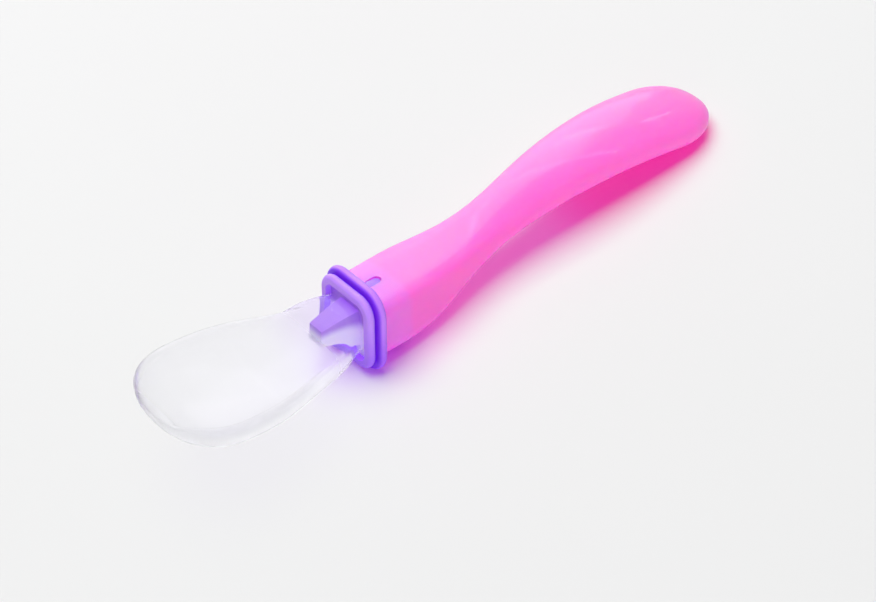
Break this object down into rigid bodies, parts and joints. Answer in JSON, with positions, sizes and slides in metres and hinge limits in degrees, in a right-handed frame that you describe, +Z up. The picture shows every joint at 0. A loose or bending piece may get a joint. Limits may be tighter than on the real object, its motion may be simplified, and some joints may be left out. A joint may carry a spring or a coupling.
{
  "type": "baby spoon",
  "caption": "Baby feeding spoon: clear soft bowl on a latching core, soft ring collar and curved plug-on handle that arches clear of the table.",
  "frame": {"origin": "centre of the spoon's length and width, on the surface that it stands on", "axes": "+X from the bowl's tip to the handle's tail, +Y across the spoon, +Z up from the table"},
  "size_m": [0.1462, 0.0318, 0.0221],
  "materials": {
    "clear_silicone": "clear, smooth and glossy",
    "violet_plastic": "smooth moulded, slightly see-through",
    "violet_rubber": "soft satin",
    "pink_plastic": "smooth moulded, glossy"
  },
  "bodies": {
    "handle": {"handle": "pink_plastic"},
    "head": {"core": "violet_plastic", "bowl": "clear_silicone", "collar": "violet_rubber"},
    "latch": {"latch_finger": "violet_plastic"}
  },
  "joints": [
    {"name": "head_pull", "type": "slide", "parent": "handle", "child": "head", "axis": [-0.9721, 0, 0.2345], "range_m": [0, 0.018], "deforming": ["latch_finger"]},
    {"name": "latch_press", "type": "hinge", "parent": "head", "child": "latch", "pos_m": [-0.00997, 0, 0.01144], "axis": [0, -1, 0], "range_deg": [0, 14], "stiffness_Nm_per_rad": 0.1}
  ]
}
